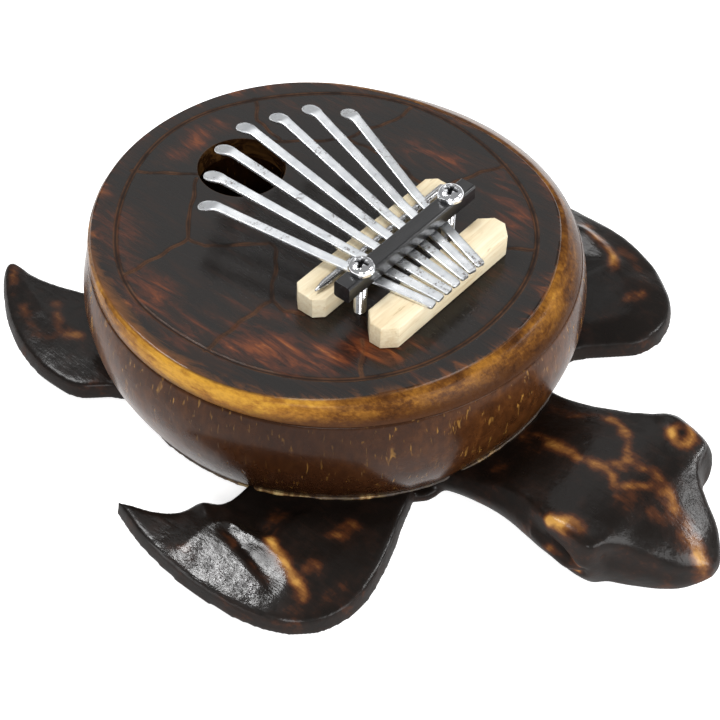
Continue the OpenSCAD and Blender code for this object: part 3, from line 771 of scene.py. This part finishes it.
def soundboard(material):
    """The board as rings from the sound hole's wall, over the top, down the rim and back."""
    turns = 640
    angle = np.arange(turns) * 2 * math.pi / turns
    way = np.stack([np.cos(angle), np.sin(angle)], 1)
    rim_top = way * board_at(angle)[:, None]
    rim_foot = way * FOOT_R + SHELL_C
    out = rim_top - HOLE_C
    out /= np.linalg.norm(out, axis=1)[:, None]
    rows, marks = [], []

    def row(xy, z, rim=0.0, wall=0.0):
        rows.append(np.column_stack([xy, np.full(turns, z)]))
        marks.append((rim, wall))

    hole = HOLE_C + out * HOLE_R
    for z in np.linspace(SEAT_Z, TOP_Z - 0.5, 5):
        row(hole + out * 0.2 * (TOP_Z - z) / 6, z, 0, 1)
    row(hole + out * 0.12, TOP_Z - 0.15, 0, 0.8)
    inner = hole + out * 0.4
    near, far = (way * (ring_at(angle) + d)[:, None] for d in (-1.6, 1.6))
    outer = rim_top - way * 0.9
    for a, b, steps in ((inner, near, 112), (near, far, 12), (far, outer, 5)):
        for t in np.arange(steps) / steps:
            row(a + (b - a) * t, TOP_Z)
    for dip, back in ((0, 0.9), (0.10, 0.5), (0.35, 0.18), (0.8, 0.0)):
        row(rim_top - way * back, TOP_Z - dip, 0.25 * dip)
    for t in np.linspace(0.16, 0.93, 8):
        row(rim_top + (rim_foot - rim_top) * t + way * 0.5 * math.sin(math.pi * t),
            TOP_Z + (SEAT_Z - TOP_Z) * t, max(t, 0.25))
    row(rim_foot - way * 0.08, SEAT_Z, 1)
    row(rim_foot + (hole - rim_foot) * 0.5, SEAT_Z, 1)
    points = np.array(rows).reshape(-1, 3)
    rim, wall = np.repeat(np.array(marks), turns, 0).T
    on_top = (points[:, 2] > TOP_Z - 0.01)
    cut = carved_lines(points[:, :2]) * on_top
    points[:, 2] -= cut * 0.22 + on_top * (0.12 + 0.1 * lumps(points, 14, 6))
    side = (rim > 0.2) & (rim < 0.9)
    points[side, :2] *= 1 + (0.12 * lumps(points[side], 9, 1) / 65)[:, None]
    theta = np.arctan2(points[:, 1], points[:, 0])
    gilt = 0.34 + 0.56 * nudge(theta, 186, 36) + 0.16 * nudge(theta, 285, 22)
    edge = np.clip(1 - (board_at(theta) - np.hypot(points[:, 0], points[:, 1])) / 5.5, 0, 1)
    edge *= 0.3 + 0.75 * nudge(theta, 168, 26) + 0.2 * nudge(theta, 235, 30)
    mesh = as_mesh("board", points, skin(len(rows), turns, wrap_rows=True),
                   {"cut": cut, "rim": rim, "wall": wall, "gilt": gilt, "edge": edge,
                    "warm": warmth(points)})
    return show("soundboard_top", mesh, material, "body", ["soundboard"])


# where the stain let more red-brown through: points (x, y), width, strength
WARM = [([(-38, 42), (-50, 22), (-54, 2)], 9, 0.9), ([(-48, -12), (-38, -30), (-22, -44)], 9, 1.0),
        ([(-20, -30), (-34, -14), (-38, 4)], 6, 0.5), ([(-6, 50), (10, 50)], 5, 0.8),
        ([(30, 40), (45, 25)], 7, 0.5), ([(40, 4), (46, -22), (34, -40)], 7, 0.7),
        ([(-20, 14), (-8, 22)], 5, 0.35), ([(0, -50), (16, -46)], 5, 0.5)]


def warmth(points):
    """How much red-brown shows: along the strokes, and in a band inside the edge."""
    r, theta = np.hypot(points[:, 0], points[:, 1]), np.arctan2(points[:, 1], points[:, 0])
    warm = 0.75 * np.clip(1 - (board_at(theta) - r) / 7, 0, 1)
    for line, width, strength in WARM:
        warm = np.maximum(warm, strength * hump(reach(points, line), width))
    return warm


# ---------------------------------------------------------------- eased copies of CAD solids
def eased(name, node, material, body, width, angle=50, steps=3):
    """A copy of a CAD solid with its sharp edges rounded."""
    made = bmesh.new()
    made.from_mesh(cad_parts[node].data)
    bmesh.ops.remove_doubles(made, verts=made.verts, dist=1e-6)
    bmesh.ops.dissolve_limit(made, angle_limit=math.radians(2), verts=made.verts, edges=made.edges)
    sharp = [e for e in made.edges if e.is_manifold and e.calc_face_angle() > math.radians(angle)]
    bmesh.ops.bevel(made, geom=sharp, offset=width * MM, segments=steps, profile=0.6,
                    affect="EDGES", clamp_overlap=True)
    mesh = bpy.data.meshes.new(name)
    made.to_mesh(mesh)
    made.free()
    return show(name, mesh, material, body, [node], 30)


# ---------------------------------------------------------------- tines
def on_tine(i, points):
    """Points from tine i's own line (+Y to its tip, Z = 0 its underside) to the frame."""
    tilt = math.atan(RISE)
    turn = -math.atan((SKEW + FAN * (i - MIDDLE_TINE)) * math.cos(tilt))
    place = (Matrix.Translation((0, -SADDLE_Y, TOP_Z + SADDLE_H)) @ Matrix.Rotation(tilt, 4, "X")
             @ Matrix.Translation((SADDLE_X + PITCH * (i - MIDDLE_TINE), 0, 0))
             @ Matrix.Rotation(turn, 4, "Z"))
    return np.array([place @ Vector(p) for p in np.asarray(points, float).reshape(-1, 3)])


def strip_path(i, lean):
    """Tine i's top face in side view: distances along it, and (y, z) and slope at each."""
    start = -(TAIL_Y - SADDLE_Y) / lean
    length = REACH[i - 1] / lean
    neck = length - TIP_L
    run = np.concatenate([start + np.array([0, 0.12, 0.35, 0.7]), np.linspace(start + 1.4, -1, 20),
                          np.linspace(0, 6, 9), np.linspace(7.4, neck - 1.2, 24),
                          np.linspace(neck - 0.6, length - 2.2, 15),
                          length - 2.2 + 2.2 * np.sin(np.linspace(0.15, 1, 9) * math.pi / 2)])
    rising = math.atan(LIFT + LIFT_STEP * (i - MIDDLE_TINE))
    falling = math.radians(DROOP[i - 1])
    fine = np.arange(start, length + 0.05, 0.05)
    slope = rising * np.clip((fine - SPLIT + 1.2) / 2.4, 0, 1)
    slope = slope - 1.25 * falling * np.clip((fine - neck + 0.8) / 3.6, 0, 1) ** 1.2
    slope = slope + 0.25 * falling * np.clip((fine - length + 3) / 3, 0, 1)
    y, z = (start + np.cumsum(f(slope)) * 0.05 for f in (np.cos, np.sin))
    z = z - np.interp(0, fine, z) + TINE_T
    y = y - np.interp(0, fine, y)
    return run, neck, *(np.interp(run, fine, v) for v in (y, z, slope))


def tine(i, material):
    """One steel strip from its clamped tail to its hammered, drooping tip."""
    lean = (math.cos(math.atan(SKEW + FAN * (i - MIDDLE_TINE)))
            * math.cos(math.atan(RISE)))
    run, neck, ys, zs, slopes = strip_path(i, lean)
    start, end, pad = run[0], run[-1], TIP_W / 2
    loops = []
    for at, y, z, slope in zip(run, ys, zs, slopes):
        wide = TINE_W / 2
        if at > neck:
            wide += (pad - wide) * math.sin(min(1.0, (at - neck) / 4.2) * math.pi / 2) ** 1.4
        if at > end - 2.2:
            wide *= math.sqrt(max(1 - ((at - end + 2.2) / 2.22) ** 2, 0.004))
        wide -= 0.45 * max(0, 1 - (at - start) / 0.7) ** 2
        thick = TINE_T - 0.3 * min(1.0, max(0.0, at - neck) / 5)
        soft = 0.2
        side = [(wide - soft, 0), (wide - 0.06, -0.06), (wide, -soft), (wide, soft - thick),
                (wide - 0.06, 0.06 - thick), (wide - soft, -thick)]
        crown = [(0.5 * wide, 0), (0, 0), (-0.5 * wide, 0)]
        belly = [(-0.5 * wide, -thick), (0.5 * wide, -thick)]
        loop = side[::-1] + crown + [(-x, d) for x, d in side] + belly
        loops.append([(x, y - d * math.sin(slope), z + d * math.cos(slope)) for x, d in loop])
    points = np.array(loops)
    rows, cols = points.shape[:2]
    flat = on_tine(i, points)
    bend = 0.10 * math.sin(i * 2.3) * np.sin((flat[:, 1] - flat[:, 1].min()) / 18 + i)
    flat[:, 0] += bend
    caps = [tuple(range(cols)), tuple(range((rows - 1) * cols, rows * cols))]
    mesh = as_mesh(f"tine_{i}", flat, skin(rows, cols) + caps)
    piece = show(f"tine_{i}", mesh, material, None,
                 [f"tine_{i}_tail", f"tine_{i}_tongue"], 50)
    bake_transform(piece)
    return piece


# ---------------------------------------------------------------- screws and wire
def screw(side, material):
    """A pan-head cross-recess screw with a real thread."""
    node, body = f"screw_{side}", f"{side}_screw"
    centre, bottom, top = middle(node)[:2], low(node)[2], high(node)[2]
    seat = high("pressure_bar")[2]
    turns, pitch, depth, shank = 96, 0.6, 0.22, 1.75
    angle = np.arange(turns) * 2 * math.pi / turns
    way = np.stack([np.cos(angle), np.sin(angle)], 1)
    rows, dark = [], {}
    for z in np.arange(bottom, seat - 5.2, pitch / 8):
        phase = ((z - bottom) / pitch - angle / (2 * math.pi)) % 1
        grow = min(1.0, (z - bottom) / 0.8)
        r = (shank - depth * np.abs(2 * phase - 1) ** 0.8) * (0.86 + 0.14 * grow)
        rows.append(np.column_stack([way * r[:, None], np.full(turns, z)]))
    for r, z in ((shank, seat - 5.1), (shank, seat), (3.3, seat), (HEAD_R, seat + 0.15),
                 (HEAD_R, seat + 0.8)):
        rows.append(np.column_stack([way * r, np.full(turns, z)]))
    for r in np.concatenate([HEAD_R * np.cos(np.linspace(0.25, 1.2, 8)),
                             np.linspace(1.15, 0.05, 14)]):
        dome = seat + 0.8 + (top - seat - 0.8) * math.sqrt(1 - (r / 3.52) ** 2.6)
        xy = way * r
        z, recess_and_painted_shade = np.full(turns, dome), np.zeros(turns)
        for tilt in (0.35, 0.35 + math.pi / 2):
            along = np.abs(xy[:, 0] * math.cos(tilt) + xy[:, 1] * math.sin(tilt))
            across = np.abs(xy[:, 1] * math.cos(tilt) - xy[:, 0] * math.sin(tilt))
            cut = np.clip((2.15 - along) / 0.8, 0, 1) * np.clip((0.62 - across) / 0.25, 0, 1)
            z = np.minimum(z, dome - 1.15 * cut)
            recess_and_painted_shade = np.maximum(recess_and_painted_shade, np.clip(cut * 1.6, 0, 1))
        rows.append(np.column_stack([xy, z]))
        # the cross recess is marked here so that its steel is painted near black, as painted shade
        dark[len(rows) - 1] = recess_and_painted_shade
    points = np.array(rows)
    points[..., :2] += centre
    n = len(rows)
    caps = [tuple(range(turns)), tuple(range((n - 1) * turns, n * turns))]
    recess_and_painted_shade = [dark.get(k, np.zeros(turns)) for k in range(n)]
    mesh = as_mesh(node, points, skin(n, turns) + caps, {"recess_and_painted_shade": recess_and_painted_shade})
    return show(f"clamp_screw_{side}", mesh, material, body, [node], 35)


def saddle_wire(material):
    """Steel wire filed to a point at its left end."""
    a, b, c = low("saddle_wire"), high("saddle_wire"), middle("saddle_wire")
    r = half("saddle_wire")[2]
    profile = [(a[0], 0.05), (a[0] + 0.25, 0.32), (a[0] + 1.6, 0.66), (a[0] + 3, 0.95),
               (a[0] + 3.8, r), *[(x, r) for x in np.linspace(a[0] + 6, b[0] - 0.5, 24)],
               (b[0] - 0.2, r * 0.96), (b[0], r * 0.75)]
    turn = np.arange(28) * 2 * math.pi / 28
    rows = [np.stack([np.full(28, x), c[1] + q * np.cos(turn), c[2] + q * np.sin(turn)], -1)
            for x, q in profile]
    n = len(rows)
    caps = [tuple(range(28)), tuple(range((n - 1) * 28, n * 28))]
    mesh = as_mesh("wire", rows, skin(n, 28) + caps)
    return show("saddle_rod", mesh, material, "body", ["saddle_wire"], 50)


# ---------------------------------------------------------------- light, floor and camera
def floor():
    """A plain pale floor, which is not part of the mbira."""
    p = Paint("floor", Specular_IOR_Level=0.0)
    tone = p.noise(0.5, 2)
    colour = p.ramp(tone, (0.3, (0.93, 0.93, 0.93)), (0.7, (0.95, 0.95, 0.95)))
    p.shader.inputs["Emission Color"].default_value = (1, 1, 1, 1)
    p.shader.inputs["Emission Strength"].default_value = 0.70
    plane = bmesh.new()
    bmesh.ops.create_grid(plane, x_segments=4, y_segments=4, size=4)
    mesh = bpy.data.meshes.new("floor")
    plane.to_mesh(mesh)
    plane.free()
    mesh.materials.append(p.finish(colour, p.span(tone, 0, 1, 0.8, 0.9), tone, 0.0001))
    obj = bpy.data.objects.new("floor", mesh)
    bpy.context.scene.collection.objects.link(obj)


def softbox(name, place, aim, size, power):
    """A square area light that faces aim."""
    lamp = bpy.data.lights.new(name, "AREA")
    lamp.shape, lamp.size, lamp.size_y, lamp.energy = "RECTANGLE", size, size, power
    obj = bpy.data.objects.new(name, lamp)
    bpy.context.scene.collection.objects.link(obj)
    obj.location = place
    obj.rotation_euler = (Vector(aim) - Vector(place)).to_track_quat("-Z", "Y").to_euler()


def studio():
    """Five soft boxes round the object and a pale sky."""
    world = bpy.data.worlds.new("studio")
    bpy.context.scene.world = world
    world.use_nodes = True
    back = world.node_tree.nodes["Background"]
    back.inputs[0].default_value, back.inputs[1].default_value = (1, 1, 1, 1), 0.34
    softbox("key", (-0.66, -0.50, 0.56), (0, -0.02, 0.02), 0.34, 3.4)
    softbox("fill", (0.05, -0.88, 0.46), (0, -0.04, 0.02), 0.46, 4.4)
    softbox("near", (0.70, -0.60, 0.58), (0, -0.04, 0.02), 0.22, 2.4)
    softbox("back", (-0.11, 0.43, 0.86), (-0.06, -0.03, 0.02), 0.31, 5.6)
    softbox("broad", (0.62, 0.50, 0.80), (0, 0, 0.02), 0.62, 0.9)
    bpy.context.scene.view_settings.view_transform = "Standard"


def camera():
    """A long lens above the head's left side, with a slight roll."""
    turn, rise, roll = (math.radians(a) for a in (-51.776, 46.358, 1.965))
    back = Vector((math.sin(turn) * math.cos(rise), -math.cos(turn) * math.cos(rise),
                   math.sin(rise)))
    right = Vector((math.cos(turn), math.sin(turn), 0))
    up = back.cross(right)
    across = right * math.cos(roll) + up * math.sin(roll)
    upward = up * math.cos(roll) - right * math.sin(roll)
    lens = bpy.data.cameras.new("camera")
    lens.sensor_width, lens.lens, lens.clip_start = 36, 100.25, 0.01
    obj = bpy.data.objects.new("camera", lens)
    bpy.context.scene.collection.objects.link(obj)
    place = Matrix((across, upward, back)).transposed().to_4x4()
    place.translation = Vector((-0.032025, -0.038566, 0.045)) + back * 0.5
    obj.matrix_world = place
    bpy.context.scene.camera = obj


# ---------------------------------------------------------------- the mbira
camera()
studio()
floor()
carving = carved_base(carved_wood())
coconut_shell(coconut())
glue_bead(dried_glue(), carving)
soundboard(board_wood())
pale = pale_wood()
eased("front_block", "front_bridge", pale, "body", 0.35)
eased("rear_block", "rear_bridge", pale, "body", 0.45)
eased("clamp_bar", "pressure_bar", black_bar(), "clamp", 0.7)
tine_steel = steel("tine_steel", (0.93, 0.95, 0.97), (0.70, 0.73, 0.76), 0.30, 0.9)
for i in TINES:
    tine(i, tine_steel)
chrome = steel("screw_chrome", (0.86, 0.87, 0.89), (0.74, 0.75, 0.78), 0.14)
for side in ("left", "right"):
    screw(side, chrome)
saddle_wire(steel("wire_steel", (0.55, 0.55, 0.55), (0.36, 0.36, 0.37), 0.25, 0.5))
plain = steel("plain_steel", (0.62, 0.63, 0.64), (0.5, 0.5, 0.51), 0.32, 0.3)
for node in ("washer_left", "washer_right", "nut_left", "nut_right"):
    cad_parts[node].data.materials.clear()
    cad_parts[node].data.materials.append(plain)
